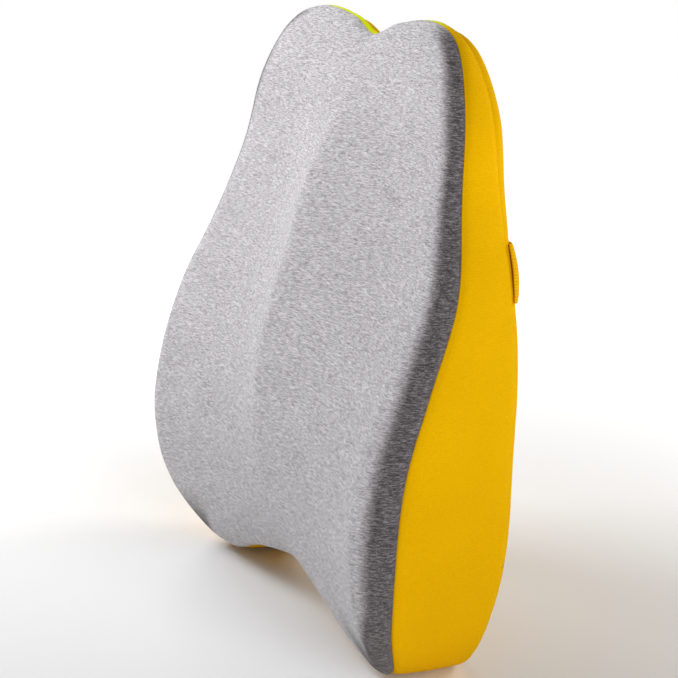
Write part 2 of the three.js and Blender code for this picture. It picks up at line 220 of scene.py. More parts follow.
# ---- the skin: every ring of the outer surface in one array ---------------------------------
FRONT = front_rings()
BORDER = border_rings()
BACK = back_rings()
FRONT_SEAM = len(FRONT) - 1                  # index of the front panel's rim in SKIN
BORDER_END = FRONT_SEAM + len(BORDER)        # index of the border's last ring
SKIN = np.array(FRONT[::-1] + BORDER + BACK)
FRONT_TIP = np.array([0, -front_depth(0.0, float(CENTRE_Z)), CENTRE_Z])
BACK_TIP = np.array([0, 0, CENTRE_Z])


def ring_normals(rings):
    around = np.roll(rings, -1, 1) - np.roll(rings, 1, 1)
    across = np.empty_like(rings)
    across[1:-1] = rings[2:] - rings[:-2]
    across[0] = rings[1] - rings[0]
    across[-1] = rings[-1] - rings[-2]
    normal = np.cross(around, across)
    length = np.linalg.norm(normal, axis=2)[..., None]
    return normal / np.maximum(length, 1e-9)


def to_world(points):
    """Millimetres from the flat back to metres in the frame."""
    return np.asarray(points, float) * MM + np.array([0, BACK_Y, 0])


def mesh_object(name, verts, faces):
    mesh = bpy.data.meshes.new(name)
    mesh.from_pydata([tuple(v) for v in verts], [], [tuple(f) for f in faces])
    mesh.update()
    obj = bpy.data.objects.new(name, mesh)
    bpy.context.scene.collection.objects.link(obj)
    for polygon in mesh.polygons:
        polygon.use_smooth = True
    return obj


def grid_faces(rows, count, first_tip=None, last_tip=None):
    faces = []
    for r in range(rows - 1):
        for i in range(count):
            j = (i + 1) % count
            faces.append((r * count + i, r * count + j, (r + 1) * count + j, (r + 1) * count + i))
    for i in range(count):
        j = (i + 1) % count
        if first_tip is not None:
            faces.append((j, i, first_tip))
        if last_tip is not None:
            last = (rows - 1) * count
            faces.append((last + i, last + j, last_tip))
    return faces


def fix_normals(obj):
    """Turns all of a closed mesh's faces outward."""
    mesh = bmesh.new()
    mesh.from_mesh(obj.data)
    bmesh.ops.recalc_face_normals(mesh, faces=mesh.faces)
    mesh.to_mesh(obj.data)
    mesh.free()


def box_verts(x, y, z):
    """Corners of the box between the pairs of values x, y and z."""
    return [(a, b, c) for a in x for b in y for c in z]


BOX_FACES = [(0, 1, 3, 2), (4, 6, 7, 5), (0, 4, 5, 1), (2, 3, 7, 6), (0, 2, 6, 4), (1, 5, 7, 3)]


def evaluated(obj):
    graph = bpy.context.evaluated_depsgraph_get()
    co = np.zeros(len(obj.data.vertices) * 3)
    obj.evaluated_get(graph).data.vertices.foreach_get("co", co)
    return co.reshape(-1, 3)


SIM_FRAMES = 20
SWELL_LIMITS = (-1.0, 4.0)     # least and greatest swell, mm
HOLD_FRONT = 0.25              # how firmly the foam holds the front panel, from 0 to 1
HOLD_BORDER = 0.05


def simulate_cover():
    """How far the sewn cover swells between its seams, in mm, for every point of SKIN."""
    ring_step, point_step = 2, 4
    rows = {*range(0, len(SKIN), ring_step), FRONT_SEAM, BORDER_END}
    rows = sorted(rows - {FRONT_SEAM + 1, BORDER_END + 1})      # those two repeat a seam ring
    rest = SKIN[rows][:, ::point_step]
    count = rest.shape[1]
    tips = [FRONT_TIP, BACK_TIP]
    verts = to_world(np.concatenate([rest.reshape(-1, 3), tips]))
    total = len(rows) * count
    cloth = mesh_object("cover_cloth", verts, grid_faces(len(rows), count, total, total + 1))
    hold = cloth.vertex_groups.new(name="hold")
    for r, row in enumerate(rows):
        ring = list(range(r * count, (r + 1) * count))
        if row in (FRONT_SEAM, BORDER_END) or row >= BORDER_END:
            hold.add(ring, 1.0, "REPLACE")
        elif row < FRONT_SEAM:
            hold.add(ring, HOLD_FRONT, "REPLACE")
        else:
            hold.add(ring, HOLD_BORDER, "REPLACE")
    hold.add([total], HOLD_FRONT, "REPLACE")
    hold.add([total + 1], 1.0, "REPLACE")
    sim = cloth.modifiers.new("cloth", "CLOTH")
    sim.settings.vertex_group_mass = "hold"
    sim.settings.pin_stiffness = 1.5
    sim.settings.use_pressure = True
    sim.settings.uniform_pressure_force = 4.0
    sim.settings.tension_stiffness = 15
    sim.settings.compression_stiffness = 15
    sim.settings.bending_stiffness = 1.0
    sim.settings.effector_weights.gravity = 0
    sim.collision_settings.use_collision = False
    sim.point_cache.frame_start = 1
    sim.point_cache.frame_end = SIM_FRAMES
    for number in range(1, SIM_FRAMES + 1):
        bpy.context.scene.frame_set(number)
    moved = (evaluated(cloth) - verts)[:total].reshape(len(rows), count, 3) / MM
    bpy.data.objects.remove(cloth)
    bpy.context.scene.frame_set(1)
    outward = np.sum(moved * ring_normals(rest), axis=2)
    outward = np.clip(outward, *SWELL_LIMITS)
    wrapped = np.concatenate([outward, outward[:, :1]], 1)
    fine = np.array([np.interp(np.arange(SKIN.shape[1]) / point_step, np.arange(count + 1), row)
                     for row in wrapped])
    return np.array([np.interp(np.arange(len(SKIN)), rows, fine[:, i])
                     for i in range(fine.shape[1])]).T


# ---- materials -----------------------------------------------------------------------------
class Nodes:
    """Short hand for building a material's node tree."""

    def __init__(self, name, roughness=0.9, **sockets):
        self.material = bpy.data.materials.new(name)
        self.material.use_nodes = True
        self.tree = self.material.node_tree
        self.shader = self.tree.nodes["Principled BSDF"]
        self.shader.inputs["Roughness"].default_value = roughness
        for socket, value in sockets.items():
            self.shader.inputs[socket.replace("_", " ")].default_value = value
        self.coords = self.tree.nodes.new("ShaderNodeTexCoord").outputs["Object"]

    def node(self, kind, inputs=None, **settings):
        made = self.tree.nodes.new(kind)
        for key, value in settings.items():
            setattr(made, key, value)
        for key, value in (inputs or {}).items():
            self.put(made.inputs[key], value)
        return made

    def put(self, socket, value):
        if isinstance(value, bpy.types.NodeSocket):
            self.tree.links.new(value, socket)
        else:
            socket.default_value = value

    def stretched(self, scale):
        return self.node("ShaderNodeMapping", {"Vector": self.coords, "Scale": scale}).outputs[0]

    def noise(self, scale, detail=2.0, rough=0.5):
        texture = self.node("ShaderNodeTexNoise", {
            "Vector": self.stretched(scale), "Scale": 1.0, "Detail": detail, "Roughness": rough})
        return texture.outputs["Fac"]

    def wave(self, direction, pitch, distortion=0.0):
        """Parallel ribs `pitch` metres apart along an axis."""
        texture = self.node("ShaderNodeTexWave", {
            "Vector": self.coords, "Scale": math.pi / 10 / pitch,
            "Distortion": distortion, "Detail": 1.0}, bands_direction=direction)
        return texture.outputs["Fac"]

    def math(self, operation, a, b=0.0):
        return self.node("ShaderNodeMath", {0: a, 1: b}, operation=operation).outputs[0]

    def ramp(self, value, stops):
        ramp = self.node("ShaderNodeValToRGB", {"Fac": value})
        elements = ramp.color_ramp.elements
        for _ in stops[2:]:
            elements.new(0.5)
        for element, (at, colour) in zip(elements, stops):
            element.position = at
            element.color = (*colour, 1)
        return ramp.outputs["Color"]

    def mix(self, share, a, b, blend="MIX"):
        mixer = self.node("ShaderNodeMix", data_type="RGBA", blend_type=blend)
        self.put(mixer.inputs["Factor"], share)
        self.put(mixer.inputs["A"], a if not isinstance(a, tuple) else (*a, 1))
        self.put(mixer.inputs["B"], b if not isinstance(b, tuple) else (*b, 1))
        return mixer.outputs["Result"]

    def attribute(self, name):
        return self.node("ShaderNodeAttribute", attribute_name=name).outputs["Fac"]

    def colour(self, value):
        self.put(self.shader.inputs["Base Color"], value)

    def bump(self, height, distance, strength=1.0):
        made = self.node("ShaderNodeBump", {
            "Height": height, "Distance": distance, "Strength": strength})
        self.put(self.shader.inputs["Normal"], made.outputs[0])


# Dark, middle and light fibres of the melange, on its face and, darkened as painted shade, on its
# flanks.
LIGHT_KNIT = [(0.26, 0.245, 0.26), (0.56, 0.54, 0.56), (0.84, 0.82, 0.84)]
SHADED_KNIT = [(0.03, 0.025, 0.028), (0.105, 0.092, 0.097), (0.32, 0.295, 0.305)]
LIME = (0.76, 0.84, 0.01)      # tint of the yellow cloth in the notch between the lobes


def grey_knit():
    """Melange jersey: short dark and light fibres lying across, with painted shade that darkens the
    rolled flanks.
    """
    m = Nodes("grey_knit", 0.95, Sheen_Weight=0.1, Sheen_Roughness=0.6, Specular_IOR_Level=0.1)
    streaks = m.noise((210, 210, 1300), detail=3, rough=0.7)
    fibres = m.noise((900, 900, 2600), detail=2, rough=0.7)
    tone = m.noise((22, 22, 30), detail=2)
    grain = m.math("ADD", m.math("MULTIPLY", streaks, 0.6), m.math("MULTIPLY", fibres, 0.4))
    light = m.ramp(grain, [(0.38, LIGHT_KNIT[0]), (0.5, LIGHT_KNIT[1]), (0.62, LIGHT_KNIT[2])])
    # painted shade: a darker copy of the melange, laid on the rolled flanks by the mask below
    shaded = m.ramp(grain, [(0.37, SHADED_KNIT[0]), (0.5, SHADED_KNIT[1]), (0.64, SHADED_KNIT[2])])
    base = m.mix(m.attribute("flank_shade"), light, shaded)
    cloud = m.ramp(tone, [(0.3, (0.94, 0.94, 0.94)), (0.7, (1, 1, 1))])
    m.colour(m.mix(1.0, base, cloud, "MULTIPLY"))
    rows = m.wave("Z", 0.0011, 0.6)
    height = m.math("ADD", m.math("MULTIPLY", rows, 0.35), m.math("MULTIPLY", grain, 1.0))
    m.bump(height, 0.0005, 0.5)
    return m.material


def yellow_fabric():
    """Fine warp-knit: faint cross ribs on a warm yellow, lime in the notch."""
    m = Nodes("yellow_fabric", 0.9, Specular_IOR_Level=0.04)
    ribs = m.wave("Z", 0.0014, 0.8)
    yarn = m.noise((500, 500, 1500), detail=2)
    tone = m.noise((14, 14, 14), detail=2)
    weave = m.math("ADD", m.math("MULTIPLY", ribs, 0.2), m.math("MULTIPLY", yarn, 0.8))
    base = m.ramp(weave, [(0.3, (0.74, 0.395, 0.0)), (0.7, (0.86, 0.475, 0.0))])
    cloud = m.ramp(tone, [(0.3, (0.95, 0.94, 0.9)), (0.7, (1, 1, 1))])
    base = m.mix(m.attribute("notch"), base, LIME)
    m.colour(m.mix(1.0, base, cloud, "MULTIPLY"))
    m.bump(weave, 0.0004, 0.35)
    return m.material


def foam_material():
    m = Nodes("foam", 1.0)
    cells = m.node("ShaderNodeTexVoronoi", {"Vector": m.coords, "Scale": 900.0}).outputs["Distance"]
    m.colour(m.ramp(cells, [(0.1, (0.70, 0.64, 0.50)), (0.6, (0.88, 0.84, 0.72))]))
    m.bump(cells, 0.0006, 0.6)
    return m.material


def webbing():
    """Elastic webbing: ribs along the strap with a fine cross weave."""
    m = Nodes("strap_webbing", 0.85, Specular_IOR_Level=0.1)
    ribs = m.wave("Z", 0.0021)
    picks = m.wave("X", 0.0012)
    weave = m.math("ADD", m.math("MULTIPLY", ribs, 0.7), m.math("MULTIPLY", picks, 0.3))
    m.colour(m.ramp(weave, [(0.15, (0.74, 0.37, 0.0)), (0.8, (0.86, 0.46, 0.0))]))
    m.bump(weave, 0.0004, 0.4)
    return m.material


def zip_cloth():
    m = Nodes("zip_tape", 0.85)
    weave = m.math("ADD", m.math("MULTIPLY", m.wave("DIAGONAL", 0.0011), 0.6),
                   m.math("MULTIPLY", m.noise((1500, 1500, 1500)), 0.4))
    m.colour(m.ramp(weave, [(0.2, (0.52, 0.27, 0.0)), (0.8, (0.78, 0.43, 0.01))]))
    m.bump(weave, 0.0004, 0.6)
    return m.material


def thread():
    m = Nodes("thread", 0.7, Sheen_Weight=0.2)
    twist = m.wave("DIAGONAL", 0.0006)
    m.colour(m.ramp(twist, [(0.2, (0.58, 0.29, 0.0)), (0.8, (0.86, 0.50, 0.02))]))
    m.bump(twist, 0.0002, 0.5)
    return m.material


def zip_coil():
    m = Nodes("zip_coil", 0.4)
    grain = m.noise((900, 900, 900))
    m.colour(m.ramp(grain, [(0.3, (0.60, 0.32, 0.01)), (0.7, (0.76, 0.42, 0.02))]))
    return m.material


def zip_metal():
    m = Nodes("zip_metal", 0.35, Metallic=1.0)
    wear = m.noise((120, 120, 120), detail=4)
    m.colour(m.ramp(wear, [(0.3, (0.34, 0.34, 0.35)), (0.7, (0.52, 0.52, 0.54))]))
    m.put(m.shader.inputs["Roughness"], m.math("ADD", m.math("MULTIPLY", wear, 0.3), 0.2))
    m.bump(wear, 0.0001, 0.3)
    return m.material


def black_plastic():
    """Moulded acetal: fine spark-eroded grain and slightly dusty edges."""
    m = Nodes("buckle_plastic", 0.45)
    grain = m.noise((2600, 2600, 2600), detail=3)
    dust = m.noise((60, 60, 60), detail=3)
    m.colour(m.ramp(dust, [(0.3, (0.016, 0.016, 0.018)), (0.75, (0.035, 0.035, 0.037))]))
    m.put(m.shader.inputs["Roughness"], m.math("ADD", m.math("MULTIPLY", grain, 0.25), 0.3))
    m.bump(grain, 0.0001, 0.35)
    return m.material


MATERIALS = {
    "grey_knit": grey_knit(), "yellow_fabric": yellow_fabric(), "foam": foam_material(),
    "strap_webbing": webbing(), "zip_tape": zip_cloth(), "zip_coil": zip_coil(),
    "zip_metal": zip_metal(), "buckle_plastic": black_plastic(), "thread": thread(),
}


def finish_piece(obj, body, slot, material=None, stands_for=()):
    obj.data.materials.clear()
    obj.data.materials.append(MATERIALS[material or slot])
    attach(obj, body)
    if stands_for:
        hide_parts(*stands_for)
    return obj


# ---- cushion cover and foam ----------------------------------------------------------------
SEAM_GROOVE = 1.8              # how deep the front seam pulls in, mm
SEAM_REACH = 2.6               # how far from the seam the cloth dips, mm
BACK_GROOVE = 1.1
PANEL_GAP = 0.06               # half of the hairline between two sewn panels, mm
PUCKER = 0.12                  # height of the gathers along a seam, mm
STRAP_DENT = 1.2               # how far the strap's sewn end draws the border in, mm
DENT_BELOW, DENT_ABOVE = 24, 22        # the two dents' distances from the strap's middle, mm
DENT_HEIGHT, DENT_DEPTH = 9, 12        # reach of a dent in height and in depth, mm
FOAM_GAP = 1.6                 # looseness of the cover on the foam, mm
ZIP_SLOT = (3.6, 7.6)          # room past the zip's end and beside its middle line, mm


def seam_distance(index):
    """Distance of every skin point from the seam ring `index`, measured along the surface."""
    steps = np.linalg.norm(np.diff(SKIN, axis=0), axis=2)
    run = np.concatenate([np.zeros((1, SKIN.shape[1])), np.cumsum(steps, 0)])
    return np.abs(run - run[index])


def cover_surface():
    """Outer surface of the cover after swelling, with its seams pulled in."""
    normal = ring_normals(SKIN)
    swell = simulate_cover()
    along = np.arange(SKIN.shape[1])
    front = seam_distance(FRONT_SEAM)
    back = seam_distance(BORDER_END)
    dip = SEAM_GROOVE * np.exp(-(front / SEAM_REACH) ** 2)
    dip += BACK_GROOVE * np.exp(-(back / SEAM_REACH) ** 2)
    pucker = np.sin(along * 2 * math.pi / 5) * 0.5 + np.sin(along * 2 * math.pi / 7 + 1) * 0.5
    dip += PUCKER * pucker * (np.exp(-front / 6) + np.exp(-back / 6))
    dip += strap_pull(SKIN)
    return SKIN + normal * (swell - dip)[..., None], normal


def strap_pull(points):
    """The border is drawn in just above and below the strap's sewn end."""
    total = 0
    at_side = np.abs(points[..., 0]) > 120
    for z in (STRAP_Z - DENT_BELOW, STRAP_Z + DENT_ABOVE):
        up = np.abs(points[..., 2] - z) / DENT_HEIGHT
        in_depth = (points[..., 1] + BACK_EDGE) / DENT_DEPTH
        total = total + STRAP_DENT * np.exp(-up ** 2 - in_depth ** 2) * at_side
    return total


def shell_object(name, outer, normal, tip=None, tip_normal=None):
    """Panel of cloth from rows of rings: outside, inside and the raw edges."""
    rows, count = outer.shape[:2]
    inner = outer - normal * CLOTH
    verts = np.concatenate([outer.reshape(-1, 3), inner.reshape(-1, 3)])
    offset = rows * count
    tips = []
    if tip is not None:
        tips = [tip, tip - tip_normal * CLOTH]
        verts = np.concatenate([verts, tips])
    outside = grid_faces(rows, count, last_tip=2 * offset if tips else None)
    inside = grid_faces(rows, count, last_tip=offset + 1 if tips else None)
    faces = outside + [tuple(v + offset for v in reversed(f)) for f in inside]
    edges = [0] if tips else [0, rows - 1]
    for row in edges:
        for i in range(count):
            j = (i + 1) % count
            a, b = row * count + i, row * count + j
            face = (a, a + offset, b + offset, b)
            faces.append(face if row == 0 else face[::-1])
    obj = mesh_object(name, to_world(verts), faces)
    fix_normals(obj)
    return obj


def point_attribute(obj, name, values):
    """Stores a value for every point of a panel's grid, alike inside and outside."""
    values = np.concatenate([values.ravel(), values.ravel()])
    values = np.append(values, np.zeros(len(obj.data.vertices) - len(values)))
    layer = obj.data.attributes.new(name, "FLOAT", "POINT")
    layer.data.foreach_set("value", values.astype(np.float32))


FLANK_SHADE_TURN = 52                # turn of the rolled rim, in degrees, at which the painted flank shade ends
FLANK_SHADE_SOFT = 14                # half of the width of its soft edge
FOOT_FLANK_SHADE, TOP_FLANK_SHADE, TOP_SHADE_SOFT = 48, 14, 10     # additions to the painted shade at the foot and at the top
FACE_TURN, FACE_STEP = 94, 4   # the rings of the face count on past a right angle


def flank_shade_values(outer):
    """Mask of painted shade: 1 on the rolled flanks that face sideways, 0 on the face of the front
    panel.
    """
    rows = len(outer)
    face = FACE_TURN + FACE_STEP * np.arange(rows - len(SHOULDER_TURNS))
    turn = np.concatenate([SHOULDER_TURNS, face])
    top = smooth(380, 450, RIM_Z)
    edge = FLANK_SHADE_TURN + FOOT_FLANK_SHADE * (1 - smooth(10, 90, RIM_Z)) + TOP_FLANK_SHADE * top
    sideways = smooth(0.1, 0.5, RIM_NORMAL[:, 0] * np.sign(RIM[:, 0]))
    soft = FLANK_SHADE_SOFT + TOP_SHADE_SOFT * top
    return (1 - smooth(edge - soft, edge + soft, turn[:, None])) * sideways


def notch_values(border):
    """1 in the notch between the two top lobes, 0 from the lobes' tips outward."""
    x, z = np.abs(border[..., 0]), border[..., 2]
    return (1 - smooth(70, 105, x)) * smooth(400, 440, z)


def build_cover():
    surface, normal = cover_surface()
    front = surface[:FRONT_SEAM + 1][::-1].copy()
    front_normal = normal[:FRONT_SEAM + 1][::-1]
    front[0, :, 1] -= PANEL_GAP
    tip = front[-1].mean(0)
    panel = shell_object("front_cover", front, front_normal, tip, np.array([0, -1, 0]))
    # the rolled flanks get their painted shade through this mask
    point_attribute(panel, "flank_shade", flank_shade_values(front))
    finish_piece(panel, "cushion", "grey_knit", stands_for=["front_panel"])

    border = surface[FRONT_SEAM + 1:BORDER_END + 1].copy()
    border[0, :, 1] += PANEL_GAP
    border[-1, :, 1] -= PANEL_GAP
    side = shell_object("border_cover", border, normal[FRONT_SEAM + 1:BORDER_END + 1])
    point_attribute(side, "notch", notch_values(border))
    finish_piece(side, "cushion", "yellow_fabric", stands_for=["side_border"])

    back = surface[BORDER_END + 1:].copy()
    back[0, :, 1] += PANEL_GAP
    for word, sign in (("upper", 1), ("lower", -1)):
        whole = shell_object(f"back_cover_{word}", back, normal[BORDER_END + 1:],
                             back[-1].mean(0), np.array([0, 1, 0]))
        keep_one_side(whole, sign)
        finish_piece(whole, "cushion", "yellow_fabric", stands_for=[f"back_panel_{word}"])
    return surface, normal


def block(name, low, high):
    """Box between two corners in mm from the flat back."""
    return mesh_object(name, to_world(box_verts(*zip(low, high))), BOX_FACES)


def apply_modifiers(obj):
    graph = bpy.context.evaluated_depsgraph_get()
    mesh = bpy.data.meshes.new_from_object(obj.evaluated_get(graph))
    obj.modifiers.clear()
    obj.data = mesh


def cut_away(obj, cutters):
    for cutter in cutters:
        boolean = obj.modifiers.new("cut", "BOOLEAN")
        boolean.object = cutter
        boolean.operation = "DIFFERENCE"
        boolean.solver = "EXACT"
    apply_modifiers(obj)
    for cutter in cutters:
        bpy.data.objects.remove(cutter)


def keep_one_side(panel, sign):
    """Cuts the back panel at the zip: a slot for the zip and a plain seam past its ends."""
    half_x, half_z = ZIP_HALF + ZIP_SLOT[0], ZIP_SLOT[1]
    slot = block("slot", (-half_x, -20, ZIP_Z - half_z), (half_x, 20, ZIP_Z + half_z))
    if sign > 0:
        rest = block("rest", (-300, -300, -300), (300, 300, ZIP_Z + 0.08))
    else:
        rest = block("rest", (-300, -300, ZIP_Z - 0.08), (300, 300, 600))
    cut_away(panel, [slot, rest])


def build_foam(surface, normal):
    """Moulded core, just inside the cloth all round."""
    depth = CLOTH + FOAM_GAP
    core = surface[::2, ::2] - normal[::2, ::2] * depth
    rows, count = core.shape[:2]
    total = rows * count
    tips = [FRONT_TIP + (0, depth, 0), BACK_TIP - (0, depth, 0)]
    verts = to_world(np.concatenate([core.reshape(-1, 3), tips]))
    foam = mesh_object("foam_block", verts, grid_faces(rows, count, total, total + 1))
    fix_normals(foam)
    finish_piece(foam, "cushion", "foam", stands_for=["foam_core"])


# ---- strap ---------------------------------------------------------------------------------
# Middle line of the right half, from the side seam round the back edge to the buckle's bar,
# over the bar, and back under it as the sewn tail: the CAD strap's own route, in mm.
STRAP_ROUTE = [
    (174.2, -5.2), (174.2, -2.6), (171.6, 0), (168.5, 1.6), (163, 2.4), (150, 3.4), (110, 6.6),
    (60, 12), (37, 14.3), (28, 14.6), (24, 13.2), (23.6, 10.1), (24, 7), (28, 5.6), (37, 6),
    (60, 9.2),
]
STRAP_SHEAR = 0.28             # how far its end leans in with the outline, mm per mm upward
STRAP_HALF_THICK = 0.85
STRAP_EDGE = 0.8               # depth of the webbing's rounded edges, mm
STRAP_CUP = 2.6                # how far the strap's edges hug the side more than its middle, mm
ROUTE_STEPS = 10


def strap_curve():
    knots = np.array(STRAP_ROUTE, float)
    padded = np.concatenate([knots[:1], knots, knots[-1:]])
    t = np.arange(ROUTE_STEPS)[:, None] / ROUTE_STEPS
    spans = [catmull_rom(padded[k], padded[k + 1], padded[k + 2], padded[k + 3], t)
             for k in range(len(knots) - 1)]
    return np.concatenate([*spans, knots[-1:]])


def strap_section():
    """Rounded cross-section of the webbing as (across the thickness, along the width)."""
    half = STRAP_WIDTH / 2 - 0.1
    across = np.linspace(-half + STRAP_EDGE, half - STRAP_EDGE, 14)
    one = [(STRAP_HALF_THICK, z) for z in across]
    turns = np.radians([30, 60, 90, 120, 150])
    round_top = [(STRAP_HALF_THICK * math.cos(a), half - STRAP_EDGE + STRAP_EDGE * math.sin(a))
                 for a in turns]
    other = [(-STRAP_HALF_THICK, z) for z in across[::-1]]
    round_foot = [(-STRAP_HALF_THICK * math.cos(a), -half + STRAP_EDGE - STRAP_EDGE * math.sin(a))
                  for a in turns]
    return np.array(one + round_top + other + round_foot)


def strap_point(centre, normal, u, z):
    """Point on the strap: u in from its middle line, z up from its middle."""
    u += STRAP_CUP * (z / (STRAP_WIDTH / 2)) ** 2 * smooth(120, 160, centre[0])
    x = centre[0] + normal[0] * u
    y = centre[1] + normal[1] * u
    x -= STRAP_SHEAR * z * smooth(100, 180, x)
    return (x, y, z)


def strap_frame():
    curve = strap_curve()
    tangent = np.gradient(curve, axis=0)
    tangent /= np.linalg.norm(tangent, axis=1)[:, None]
    return curve, np.stack([-tangent[:, 1], tangent[:, 0]], 1)


def build_strap(side):
    curve, normal = strap_frame()
    section = strap_section()
    verts = [strap_point(c, n, u, z) for c, n in zip(curve, normal) for u, z in section]
    verts = np.array(verts) * (side, 1, 1) + (0, 0, STRAP_Z)
    faces = grid_faces(len(curve), len(section))
    faces.append(tuple(range(len(section))))
    faces.append(tuple((len(curve) - 1) * len(section) + i for i in range(len(section)))[::-1])
    word = "right" if side > 0 else "left"
    strap = mesh_object(f"strap_webbing_{word}", to_world(verts), faces)
    fix_normals(strap)
    finish_piece(strap, "cushion", "strap_webbing", stands_for=[f"strap_{word}"])
    stitches = build_strap_stitches(side, word)
    if side < 0:
        for piece in (strap, stitches):
            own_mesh(piece)


STITCH_RINGS, STITCH_SIDES = 5, 6


def stitch_mesh(name, stitches, radius=0.28):
    """Thread dashes in one mesh: each from point a to point b, humped in the direction up."""
    verts, faces = [], []
    for a, b, up in stitches:
        a, b, up = (np.array(v, float) for v in (a, b, up))
        side = np.cross(b - a, up)
        side /= np.linalg.norm(side)
        for t in np.linspace(0, 1, STITCH_RINGS):
            middle = a + (b - a) * t + up * radius * (2.0 * math.sin(math.pi * t) - 0.6)
            size = radius * (0.75 + 0.25 * math.sin(math.pi * t))
            for k in range(STITCH_SIDES):
                angle = k * 2 * math.pi / STITCH_SIDES
                verts.append(middle + size * (math.cos(angle) * side + math.sin(angle) * up))
        base = len(verts) - STITCH_RINGS * STITCH_SIDES
        tube = grid_faces(STITCH_RINGS, STITCH_SIDES)
        first = tuple(range(STITCH_SIDES))
        last = tuple(v + (STITCH_RINGS - 1) * STITCH_SIDES for v in first)
        faces += [tuple(base + v for v in face) for face in (*tube, first[::-1], last)]
    obj = mesh_object(name, to_world(verts), faces)
    fix_normals(obj)
    return obj


def dashes(points, length, gap):
    """Splits a polyline into stitches of `length` with `gap` between them."""
    points = np.array(points, float)
    steps = np.linalg.norm(np.diff(points, axis=0), axis=1)
    run = np.concatenate([[0], np.cumsum(steps)])
    at = np.arange(gap / 2, run[-1] - length, length + gap)

    def place(distance):
        return np.array([np.interp(distance, run, points[:, k]) for k in range(3)])

    return [(place(d), place(d + length)) for d in at]


def build_strap_stitches(side, word):
    """A sewn box with a cross that holds the tail, on the strap's outer face."""
    main = strap_curve()[:8 * ROUTE_STEPS]       # the outer run, without the loop and tail
    order = np.argsort(main[:, 0])

    def face_y(x):
        return np.interp(x, main[order, 0], main[order, 1]) + STRAP_HALF_THICK

    corner = {"a": (43, -15), "b": (57, -15), "c": (57, 15), "d": (43, 15)}
    lines = ["ab", "bc", "cd", "da", "ac", "bd"]
    stitches = []
    for line in lines:
        (x0, z0), (x1, z1) = corner[line[0]], corner[line[1]]
        path = [(x0 + (x1 - x0) * t, z0 + (z1 - z0) * t) for t in np.linspace(0, 1, 12)]
        path = [(x * side, face_y(x), z + STRAP_Z) for x, z in path]
        stitches += [(a, b, (0, 1, 0)) for a, b in dashes(path, 2.2, 0.7)]
    obj = stitch_mesh(f"strap_stitches_{word}", stitches)
    return finish_piece(obj, "cushion", "strap_webbing", "thread")


def softened(node, name, width, segments=3):
    """A copy of a CAD node with its moulded edges rounded."""
    obj = bpy.data.objects.new(name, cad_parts[node].data.copy())
    bpy.context.scene.collection.objects.link(obj)
    mesh = bmesh.new()
    mesh.from_mesh(obj.data)
    bmesh.ops.remove_doubles(mesh, verts=mesh.verts, dist=1e-6)
    bmesh.ops.dissolve_limit(mesh, angle_limit=math.radians(2), verts=mesh.verts,
                             edges=mesh.edges)
    bmesh.ops.recalc_face_normals(mesh, faces=mesh.faces)
    mesh.to_mesh(obj.data)
    mesh.free()
    bevel = obj.modifiers.new("edges", "BEVEL")
    bevel.width = width * MM
    bevel.segments = segments
    bevel.limit_method = "ANGLE"
    bevel.angle_limit = math.radians(28)
    bevel.harden_normals = True
    apply_modifiers(obj)
    for polygon in obj.data.polygons:
        polygon.use_smooth = True
    return obj


def build_buckle():
    for node, body, width in (("buckle_socket", "cushion", 0.8), ("buckle_plug", "plug", 0.6),
                              ("buckle_prong_upper", "prong_upper", 0.5),
                              ("buckle_prong_lower", "prong_lower", 0.5)):
        piece = softened(node, node.replace("buckle", "clip"), width)
        finish_piece(piece, body, "buckle_plastic", stands_for=[node])


# ---- zip -----------------------------------------------------------------------------------
TOOTH_PITCH = 1.5              # mm
# The two blocks of one loop of the coil: from and to the middle line, back and front as
# distances from the flat back, and half of the width, all in mm.
COIL_BLOCKS = [(0.32, 2.9, -2.0, -0.8, 0.42), (0.3, 1.0, -2.1, -0.7, 0.56)]
ZIP_STITCH_ROW = 10.2          # distance of the topstitching from the zip's middle line, mm


def build_zip():
    for word, side in (("upper", 1), ("lower", -1)):
        build_zip_tape(word)
        build_zip_teeth(word, side)
    for word in ("left", "right"):
        stop = softened(f"zip_stop_{word}", f"end_stop_{word}", 0.35)
        finish_piece(stop, "cushion", "zip_metal", stands_for=[f"zip_stop_{word}"])
    finish_piece(softened("zip_slider", "slider", 0.3), "slider", "zip_metal",
                 stands_for=["zip_slider"])
    finish_piece(softened("zip_pull", "pull_tab", 0.25), "pull", "zip_metal",
                 stands_for=["zip_pull"])


def build_zip_tape(word):
    low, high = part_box(f"zip_tape_{word}")
    columns, rows = 160, 8
    verts, faces = [], []
    for layer, y in ((0, high.y), (1, low.y)):
        for i in range(columns + 1):
            for k in range(rows + 1):
                x = low.x + (high.x - low.x) * i / columns
                z = low.z + (high.z - low.z) * k / rows
                wave = 0.00008 * math.sin(x * 900) * math.sin(k / rows * math.pi)
                verts.append((x, y + wave, z))
    stride = rows + 1
    sheet = (columns + 1) * stride
    for i in range(columns):
        for k in range(rows):
            a = i * stride + k
            faces.append((a, a + 1, a + stride + 1, a + stride))
            faces.append((sheet + a, sheet + a + stride, sheet + a + stride + 1, sheet + a + 1))
    rim = ([i * stride for i in range(columns + 1)]
           + [columns * stride + k for k in range(1, rows + 1)]
           + [i * stride + rows for i in range(columns - 1, -1, -1)]
           + [k for k in range(rows - 1, 0, -1)])
    for n, a in enumerate(rim):
        b = rim[(n + 1) % len(rim)]
        faces.append((a, b, b + sheet, a + sheet))
    tape = mesh_object(f"tape_{word}", verts, faces)
    fix_normals(tape)
    finish_piece(tape, "cushion", "zip_tape", stands_for=[f"zip_tape_{word}"])


